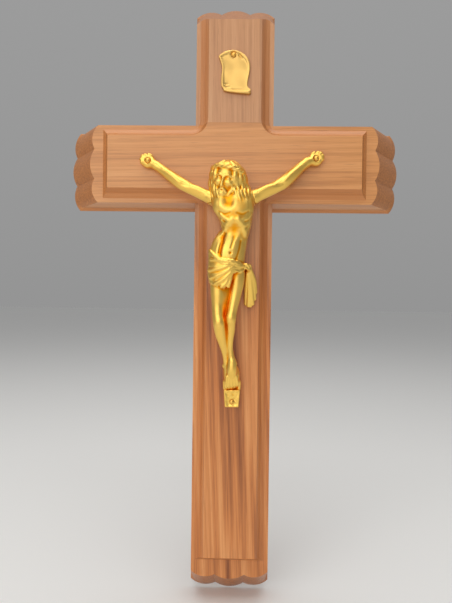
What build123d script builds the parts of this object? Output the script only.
"""Wall crucifix: a half-lapped walnut cross with a gilt cast figure, a scroll plate and a hanger.

Millimetres. +Z is up, the front faces -Y and the back lies in the plane y = 0. The origin is the
middle of the round entry of the keyhole hanger, on the back. Heights are measured from the middle of
the crossing, which lies hanger_rise below the origin.
"""
import os

from build123d import *

os.makedirs("parts", exist_ok=True)

# Wooden members
upright_length = 326.0
crossbar_length = 182.6
top_reach = 91.5
member_width = 40.8
rim_thickness = 17.3
panel_raise = 5.0
end_flare = 15.0
top_flare = 14.0
back_bevel_run = 1.4
back_bevel_height = 2.0

# Lobes cut on the member ends
valley_place = 7.9
valley_drop = 2.3
side_lobe_place = 13.4
side_lobe_drop = 1.0
corner_drop = 4.2
top_lobe_fade_share = 0.9

# Raised panel: a steep edge above a shallow one
panel_width = 27.2
steep_run = 2.15
shallow_run = 2.4
shallow_rise = 1.4
end_steep_run = 1.7
end_shallow_run = 1.9
crossbar_panel_reach = 65.8
bottom_panel_reach = 205.8
panel_corner_radius = 9.0

# Figure and its nails
figure_length = 123.0
figure_shift = 0.8
nail_span = 85.6
hand_shift = -1.2
foot_shift = 0.3
right_hand_height = -0.6
left_hand_height = 1.0
hand_length = 8.6
hand_width = 7.4
hand_thickness = 3.8
footrest_width = 8.2
footrest_height = 9.0
footrest_thickness = 5.0
footrest_nail_share = 0.62
arm_peg_radius = 1.3
arm_peg_length = 3.0
wrist_end_share = 0.36
nail_radius = 0.8
nail_head_radius = 1.3
nail_head_height = 0.8
nail_grip = 8.0

# Scroll plate
scroll_width = 16.2
scroll_height = 23.2
scroll_thickness = 0.9
scroll_shift = 0.0
scroll_inset = 45.2
scroll_nail_shift = -0.9
scroll_nail_share = 0.72

# Keyhole hanger on the back
hanger_inset = 33.5
hanger_width = 14.0
hanger_length = 36.0
hanger_thickness = 1.2
hanger_lift = 2.0
hanger_entry_radius = 4.25
hanger_slot_width = 4.4
hanger_slot_rise = 9.0
hanger_cavity_depth = 4.6
hanger_cavity_margin = 0.6
screw_spacing = 28.0
screw_head_radius = 2.4
screw_radius = 1.2
screw_grip = 10.0

overrun = 5.0

# Worked out from the sizes above
half_member = member_width / 2
half_panel = panel_width / 2
bottom_reach = upright_length - top_reach
hanger_rise = top_reach - hanger_inset
scroll_rise = top_reach - scroll_inset
crossbar_reach = crossbar_length / 2
panel_level = rim_thickness + panel_raise
lap_level = panel_level / 2
cross_plane = Plane(origin=(0, 0, -hanger_rise), x_dir=(1, 0, 0), z_dir=(0, -1, 0))
panel_plane = cross_plane.offset(panel_level)
right_hand = (hand_shift - nail_span / 2, right_hand_height)
left_hand = (hand_shift + nail_span / 2, left_hand_height)


def member_outline(half_width, low_reach, high_reach, upright_run, high_lobe_share):
    """One slice of a member: straight sides, and three lobes at each end, some of them part faded."""

    def at(along, across):
        return (across, along) if upright_run else (along, across)

    with BuildSketch(Plane.XY) as outline:
        with BuildLine():
            for way, reach, lobe_share in ((1, high_reach, high_lobe_share), (-1, low_reach, 1)):
                valley = way * (reach - lobe_share * valley_drop)
                corner = way * (reach - corner_drop)
                ThreePointArc(at(valley, -valley_place), at(way * reach, 0), at(valley, valley_place))
                for side in (-1, 1):
                    ThreePointArc(
                        at(valley, side * valley_place),
                        at(way * (reach - lobe_share * side_lobe_drop), side * side_lobe_place),
                        at(corner, side * half_width),
                    )
            for side in (-1, 1):
                Line(
                    at(high_reach - corner_drop, side * half_width),
                    at(corner_drop - low_reach, side * half_width),
                )
        make_face()
    return outline.sketch


def member_slices(low_reach, high_reach, upright_run, high_flare, high_fade_share):
    """Depth and outline of a member's slices, from the back to the level of the panel."""
    slices = []
    for depth in (0, back_bevel_height, panel_level):
        half_width = half_member + back_bevel_run if depth == 0 else half_member
        low = low_reach - end_flare * depth / rim_thickness
        high = high_reach - high_flare * depth / rim_thickness
        high_lobe_share = 1 - high_fade_share * depth / panel_level
        outline = member_outline(half_width, low, high, upright_run, high_lobe_share)
        slices.append((depth, outline))
    return slices


def panel_outline(side_run, end_run):
    """The panel's cross, grown outwards. It runs out past the top end, which has no bevel."""
    half_width = half_panel + side_run
    crossbar_half = crossbar_panel_reach + end_run
    low = bottom_panel_reach + end_run
    high = top_reach + overrun
    with BuildSketch(Plane.XY) as outline:
        Rectangle(2 * crossbar_half, 2 * half_width)
        with Locations((0, (high - low) / 2)):
            Rectangle(2 * half_width, high + low)
        inner_corners = outline.vertices().sort_by(lambda corner: abs(corner.X) + abs(corner.Y))[:4]
        fillet(inner_corners, panel_corner_radius - side_run)
    return outline.sketch


# Blanks of the two members, and what is cut away around the raised panel. The upright's top lobes fade
# out towards the front, where its end is nearly straight.
with BuildPart() as upright_blank:
    for depth, outline in member_slices(bottom_reach, top_reach, True, top_flare, top_lobe_fade_share):
        with BuildSketch(cross_plane.offset(depth)):
            add(outline)
    loft(ruled=True)

with BuildPart() as crossbar_blank:
    for depth, outline in member_slices(crossbar_reach, crossbar_reach, False, end_flare, 0):
        with BuildSketch(cross_plane.offset(depth)):
            add(outline)
    loft(ruled=True)

foot_outline = panel_outline(steep_run + shallow_run, end_steep_run + end_shallow_run)
step_outline = panel_outline(steep_run, end_steep_run)
edge_outline = panel_outline(0, 0)
with BuildPart() as panel_relief:
    with BuildSketch(cross_plane.offset(rim_thickness)):
        Rectangle(2 * (crossbar_length + overrun), 2 * (upright_length + overrun))
    extrude(amount=panel_raise)
    with BuildSketch(cross_plane.offset(rim_thickness)):
        add(foot_outline)
    with BuildSketch(cross_plane.offset(rim_thickness + shallow_rise)):
        add(step_outline)
    loft(ruled=True, mode=Mode.SUBTRACT)
    with BuildSketch(cross_plane.offset(rim_thickness + shallow_rise)):
        add(step_outline)
    with BuildSketch(panel_plane):
        add(edge_outline)
    loft(ruled=True, mode=Mode.SUBTRACT)

with BuildPart() as behind_lap:
    with BuildSketch(cross_plane.offset(lap_level)):
        Rectangle(2 * (crossbar_length + overrun), 2 * (upright_length + overrun))
    extrude(amount=-(lap_level + overrun))

# Lap halves that each member gives up to the other
with BuildPart() as crossbar_front_half:
    add(crossbar_blank.part)
    add(behind_lap.part, mode=Mode.SUBTRACT)

with BuildPart() as upright_back_half:
    add(upright_blank.part)
    add(behind_lap.part, mode=Mode.INTERSECT)

# Upright, with the hanger's pocket in its back and the nail holes in its front
hanger_plane = Plane(origin=(0, 0, 0), x_dir=(-1, 0, 0), z_dir=(0, 1, 0))
foot_nail_place = (foot_shift, -figure_length)
scroll_nail_place = (scroll_shift + scroll_nail_shift, scroll_rise + scroll_nail_share * scroll_height / 2)
cavity_radius = hanger_entry_radius + hanger_cavity_margin
screw_places = [(0, hanger_lift - screw_spacing / 2), (0, hanger_lift + screw_spacing / 2)]

with BuildPart() as upright:
    add(upright_blank.part)
    add(panel_relief.part, mode=Mode.SUBTRACT)
    add(crossbar_front_half.part, mode=Mode.SUBTRACT)
    with BuildSketch(hanger_plane):
        with Locations((0, hanger_lift)):
            SlotOverall(hanger_length, hanger_width, rotation=90)
    extrude(amount=-hanger_thickness, mode=Mode.SUBTRACT)
    with BuildSketch(hanger_plane.offset(-hanger_thickness)):
        with Locations((0, hanger_slot_rise / 2)):
            SlotCenterToCenter(hanger_slot_rise, 2 * cavity_radius, rotation=90)
    extrude(amount=-hanger_cavity_depth, mode=Mode.SUBTRACT)
    with BuildSketch(hanger_plane.offset(-hanger_thickness)):
        with Locations(*screw_places):
            Circle(screw_radius)
    extrude(amount=-screw_grip, mode=Mode.SUBTRACT)
    with BuildSketch(panel_plane):
        with Locations(foot_nail_place, scroll_nail_place):
            Circle(nail_radius)
    extrude(amount=-nail_grip, mode=Mode.SUBTRACT)
upright.part.label = "upright"
export_step(upright.part, "parts/upright.step")

# Crossbar
with BuildPart() as crossbar:
    add(crossbar_blank.part)
    add(panel_relief.part, mode=Mode.SUBTRACT)
    add(upright_back_half.part, mode=Mode.SUBTRACT)
    with BuildSketch(panel_plane):
        with Locations(right_hand, left_hand):
            Circle(nail_radius)
    extrude(amount=-nail_grip, mode=Mode.SUBTRACT)
crossbar.part.label = "crossbar"
export_step(crossbar.part, "parts/crossbar.step")

# Scroll plate: wavy sides, a rounded top and a turned-out lower corner
top_edge_shares = [(-0.98, 0.62), (0, 1), (0.97, 0.62)]
right_edge_shares = [(0.97, 0.62), (1, 0.15), (0.8, -0.42), (0.86, -0.76)]
corner_shares = [(0.86, -0.76), (1, -0.82), (0.97, -1)]
bottom_edge_shares = [(0.97, -1), (0.15, -0.96), (-0.66, -0.88)]
turned_corner_shares = [(-0.66, -0.88), (-0.72, -0.72), (-0.9, -0.68)]
left_edge_shares = [(-0.9, -0.68), (-0.84, 0), (-0.86, 0.3), (-0.98, 0.62)]


def on_scroll(shares):
    """Points of the scroll's outline, from shares of its half width and half height."""
    points = []
    for across, up in shares:
        points.append((scroll_shift + across * scroll_width / 2, scroll_rise + up * scroll_height / 2))
    return points


with BuildPart() as scroll_plate:
    with BuildSketch(panel_plane):
        with BuildLine():
            ThreePointArc(*on_scroll(top_edge_shares))
            Spline(*on_scroll(right_edge_shares))
            Polyline(*on_scroll(corner_shares))
            ThreePointArc(*on_scroll(bottom_edge_shares))
            Polyline(*on_scroll(turned_corner_shares))
            Spline(*on_scroll(left_edge_shares))
        make_face()
        with Locations(scroll_nail_place):
            Circle(nail_radius, mode=Mode.SUBTRACT)
    extrude(amount=scroll_thickness)
scroll_plate.part.label = "scroll_plate"
export_step(scroll_plate.part, "parts/scroll_plate.step")


# Cast figure: places and radii are shares of its length, across, down and out from the panel
def on_figure(across, down, out):
    """A point of the figure, from shares of its length."""
    place = (figure_shift + across * figure_length, -down * figure_length, out * figure_length)
    return panel_plane.from_local_coords(place)


def tube_sections(points, radii):
    """A round section at each point of a limb, square to the limb's run."""
    sections = []
    for index, point in enumerate(points):
        ahead = points[min(index + 1, len(points) - 1)]
        behind = points[max(index - 1, 0)]
        run = (ahead - behind).normalized()
        side = run.cross(Vector(0, 1, 0)).normalized()
        sections.append((Plane(origin=point, x_dir=side, z_dir=run), radii[index]))
    return sections


def limb_sections(rows):
    """Sections of a limb from rows of shares: across, down, out and radius."""
    points = [on_figure(across, down, out) for across, down, out, radius in rows]
    return tube_sections(points, [radius * figure_length for across, down, out, radius in rows])


# Flat sections of the torso and the cloth: across, down, out, half width and half depth
torso_shares = [
    (-0.012, 0.16, 0.066, 0.05, 0.034),
    (-0.01, 0.192, 0.07, 0.084, 0.05),
    (0.002, 0.235, 0.074, 0.077, 0.06),
    (0.008, 0.283, 0.074, 0.062, 0.056),
    (-0.002, 0.33, 0.07, 0.062, 0.05),
    (-0.02, 0.38, 0.066, 0.068, 0.052),
    (-0.028, 0.44, 0.064, 0.08, 0.06),
    (-0.026, 0.5, 0.066, 0.076, 0.058),
]
cloth_shares = [
    (-0.022, 0.405, 0.066, 0.08, 0.06),
    (-0.028, 0.45, 0.068, 0.087, 0.066),
    (-0.032, 0.49, 0.07, 0.083, 0.066),
    (-0.05, 0.53, 0.072, 0.058, 0.058),
]
# Limbs: across, down, out and radius
neck_shares = [(-0.018, 0.18, 0.07, 0.034), (-0.036, 0.12, 0.09, 0.032)]
right_leg_shares = [
    (-0.058, 0.47, 0.066, 0.038),
    (-0.064, 0.58, 0.076, 0.031),
    (-0.056, 0.65, 0.083, 0.0265),
    (-0.048, 0.72, 0.066, 0.023),
    (-0.038, 0.785, 0.048, 0.017),
    (-0.026, 0.84, 0.036, 0.0145),
]
left_leg_shares = [
    (0.016, 0.47, 0.066, 0.036),
    (-0.001, 0.58, 0.074, 0.029),
    (-0.01, 0.65, 0.08, 0.023),
    (-0.011, 0.72, 0.07, 0.019),
    (-0.011, 0.785, 0.062, 0.016),
    (-0.008, 0.83, 0.06, 0.015),
]
right_foot_shares = [(-0.026, 0.828, 0.036, 0.0145), (-0.012, 0.89, 0.03, 0.022), (0, 0.962, 0.026, 0.019)]
left_foot_shares = [(-0.008, 0.815, 0.061, 0.015), (-0.006, 0.88, 0.056, 0.022), (-0.002, 0.95, 0.046, 0.017)]
hanging_end_shares = [
    (0.046, 0.425, 0.06, 0.02),
    (0.06, 0.49, 0.045, 0.024),
    (0.072, 0.55, 0.04, 0.026),
    (0.074, 0.6, 0.036, 0.02),
]
hair_fall_shares = [(-0.012, 0.07, 0.085, 0.036), (0.02, 0.13, 0.08, 0.032), (0.046, 0.175, 0.07, 0.018)]
# Rounded masses of the head: across, down, out, half length and radius
hair_shares = (-0.042, 0.09, 0.093, 0.074, 0.058)
face_shares = (-0.046, 0.124, 0.108, 0.076, 0.04)
crown_shares = (-0.042, 0.062, 0.094, 0.056, 0.011)
head_tilt = 10.0
head_bow = 14.0
# Shoulders: across, down, out and radius, first inside the torso, then at the arm's seam
right_shoulder_shares = [(-0.05, 0.176, 0.064, 0.032), (-0.106, 0.16, 0.062, 0.027)]
left_shoulder_shares = [(0.03, 0.178, 0.064, 0.032), (0.084, 0.162, 0.062, 0.027)]
# Arms: along from seam to nail, sag below that line, and radius
arm_shares = [(0.2, 0.0095, 0.0255), (0.42, 0.011, 0.026), (0.64, 0.006, 0.0225), (0.84, 0.001, 0.0155)]

footrest_top = -figure_length + footrest_nail_share * footrest_height
footrest_middle = (foot_nail_place[0], footrest_top - footrest_height / 2)
head_run = Vector(0, 0, 1).rotate(Axis.Y, -head_tilt).rotate(Axis.X, head_bow)
head_side = head_run.cross(Vector(0, 1, 0)).normalized()


def rounded_mass(shares):
    """Middle, half length and radius of a rounded mass of the head."""
    across, down, out, half_length, radius = shares
    return on_figure(across, down, out), half_length * figure_length, radius * figure_length


def shoulder_seam(shares):
    """Plane of the seam between a shoulder and its arm, with its radius."""
    return limb_sections(shares)[1]


with BuildPart() as figure_body:
    for flat_shares in (torso_shares, cloth_shares):
        for across, down, out, half_width, half_depth in flat_shares:
            with BuildSketch(Plane(origin=on_figure(across, down, out), x_dir=(1, 0, 0), z_dir=(0, 0, 1))):
                Ellipse(half_width * figure_length, half_depth * figure_length)
        loft()
    for limb_shares in (
        neck_shares,
        right_leg_shares,
        left_leg_shares,
        right_foot_shares,
        left_foot_shares,
        hanging_end_shares,
        hair_fall_shares,
        right_shoulder_shares,
        left_shoulder_shares,
    ):
        for section, radius in limb_sections(limb_shares):
            with BuildSketch(section):
                Circle(radius)
        loft()
    for mass_shares in (hair_shares, face_shares):
        middle, half_length, radius = rounded_mass(mass_shares)
        with BuildSketch(Plane(origin=middle, x_dir=head_side, z_dir=head_side.cross(head_run))):
            Ellipse(radius, half_length)
            with Locations((radius, 0)):
                Rectangle(2 * radius, 2 * half_length, mode=Mode.INTERSECT)
        revolve(axis=Axis(middle, head_run))
    middle, crown_radius, band_radius = rounded_mass(crown_shares)
    with Locations(Plane(origin=middle, z_dir=head_run).location):
        Torus(crown_radius, band_radius)
    with BuildSketch(panel_plane):
        with Locations(footrest_middle):
            Rectangle(footrest_width, footrest_height)
        with Locations(foot_nail_place):
            Circle(nail_radius, mode=Mode.SUBTRACT)
    extrude(amount=footrest_thickness)
    for shoulder_shares in (right_shoulder_shares, left_shoulder_shares):
        seam, radius = shoulder_seam(shoulder_shares)
        with BuildSketch(seam):
            Circle(arm_peg_radius)
        extrude(amount=-arm_peg_length, mode=Mode.SUBTRACT)
figure_body.part.label = "figure_body"
export_step(figure_body.part, "parts/figure_body.step")


def arm_sections(shoulder_shares, hand):
    """Sections of an arm, from its seam at the shoulder to the back of its hand."""
    seam, seam_radius = shoulder_seam(shoulder_shares)
    hand_point = panel_plane.from_local_coords((hand[0], hand[1], hand_thickness / 2))
    reach = hand_point - seam.origin
    points = [seam.origin]
    radii = [seam_radius]
    for along, sag, radius in arm_shares:
        points.append(seam.origin + reach * along - Vector(0, 0, sag * figure_length))
        radii.append(radius * figure_length)
    points.append(hand_point)
    radii.append(wrist_end_share * hand_thickness)
    sections = tube_sections(points, radii)
    sections[0] = (seam, seam_radius)
    return sections


def arm_angle(shoulder_shares, hand):
    """Slope of an arm, in degrees, seen from the front."""
    seam, seam_radius = shoulder_seam(shoulder_shares)
    start = panel_plane.to_local_coords(seam.origin)
    run = Vector(hand[0] - start.X, hand[1] - start.Y, 0)
    return run.get_signed_angle(Vector(1, 0, 0), Vector(0, 0, -1))


# Arms, each with a peg into its shoulder and a hand that lies on the panel
with BuildPart() as figure_right_arm:
    for section, radius in arm_sections(right_shoulder_shares, right_hand):
        with BuildSketch(section):
            Circle(radius)
    loft()
    with BuildSketch(panel_plane):
        with Locations(right_hand):
            Ellipse(hand_length / 2, hand_width / 2, rotation=arm_angle(right_shoulder_shares, right_hand))
    extrude(amount=hand_thickness)
    with BuildSketch(panel_plane):
        with Locations(right_hand):
            Circle(nail_radius)
    extrude(amount=hand_thickness + overrun, mode=Mode.SUBTRACT)
    with BuildSketch(shoulder_seam(right_shoulder_shares)[0]):
        Circle(arm_peg_radius)
    extrude(amount=-arm_peg_length)
figure_right_arm.part.label = "figure_right_arm"
export_step(figure_right_arm.part, "parts/figure_right_arm.step")

with BuildPart() as figure_left_arm:
    for section, radius in arm_sections(left_shoulder_shares, left_hand):
        with BuildSketch(section):
            Circle(radius)
    loft()
    with BuildSketch(panel_plane):
        with Locations(left_hand):
            Ellipse(hand_length / 2, hand_width / 2, rotation=arm_angle(left_shoulder_shares, left_hand))
    extrude(amount=hand_thickness)
    with BuildSketch(panel_plane):
        with Locations(left_hand):
            Circle(nail_radius)
    extrude(amount=hand_thickness + overrun, mode=Mode.SUBTRACT)
    with BuildSketch(shoulder_seam(left_shoulder_shares)[0]):
        Circle(arm_peg_radius)
    extrude(amount=-arm_peg_length)
figure_left_arm.part.label = "figure_left_arm"
export_step(figure_left_arm.part, "parts/figure_left_arm.step")

# Nails with domed heads: name, place and height of what the head bears on
head_round = (nail_head_radius**2 + nail_head_height**2) / (2 * nail_head_height)
nail_rows = [
    ("right_hand_nail", right_hand, hand_thickness),
    ("left_hand_nail", left_hand, hand_thickness),
    ("foot_nail", foot_nail_place, footrest_thickness),
    ("scroll_nail", scroll_nail_place, scroll_thickness),
]
for nail_name, nail_place, seat in nail_rows:
    with BuildPart() as nail:
        with BuildSketch(panel_plane.offset(seat)):
            with Locations(nail_place):
                Circle(nail_radius)
        extrude(amount=-(seat + nail_grip))
        head_middle = panel_plane.from_local_coords((nail_place[0], nail_place[1], seat))
        with BuildSketch(Plane(origin=head_middle, x_dir=(1, 0, 0), z_dir=(0, 0, -1))):
            with BuildLine():
                Line((0, 0), (nail_head_radius, 0))
                RadiusArc((nail_head_radius, 0), (0, nail_head_height), -head_round)
                Line((0, nail_head_height), (0, 0))
            make_face()
        revolve(axis=Axis(head_middle, (0, -1, 0)))
    nail.part.label = nail_name
    export_step(nail.part, f"parts/{nail_name}.step")

# Keyhole hanger, flush with the back
with BuildPart() as hanger_plate:
    with BuildSketch(hanger_plane):
        with Locations((0, hanger_lift)):
            SlotOverall(hanger_length, hanger_width, rotation=90)
        Circle(hanger_entry_radius, mode=Mode.SUBTRACT)
        with Locations((0, hanger_slot_rise / 2)):
            SlotCenterToCenter(hanger_slot_rise, hanger_slot_width, rotation=90, mode=Mode.SUBTRACT)
    extrude(amount=-hanger_thickness)
    for screw_place in screw_places:
        with BuildSketch(hanger_plane):
            with Locations(screw_place):
                Circle(screw_head_radius)
        with BuildSketch(hanger_plane.offset(-hanger_thickness)):
            with Locations(screw_place):
                Circle(screw_radius)
        loft(ruled=True, mode=Mode.SUBTRACT)
hanger_plate.part.label = "hanger_plate"
export_step(hanger_plate.part, "parts/hanger_plate.step")

with BuildPart() as hanger_screws:
    for screw_place in screw_places:
        with BuildSketch(hanger_plane):
            with Locations(screw_place):
                Circle(screw_head_radius)
        with BuildSketch(hanger_plane.offset(-hanger_thickness)):
            with Locations(screw_place):
                Circle(screw_radius)
        loft(ruled=True)
        with BuildSketch(hanger_plane.offset(-hanger_thickness)):
            with Locations(screw_place):
                Circle(screw_radius)
        extrude(amount=-screw_grip)
hanger_screws.part.label = "hanger_screws"
export_step(hanger_screws.part, "parts/hanger_screws.step")
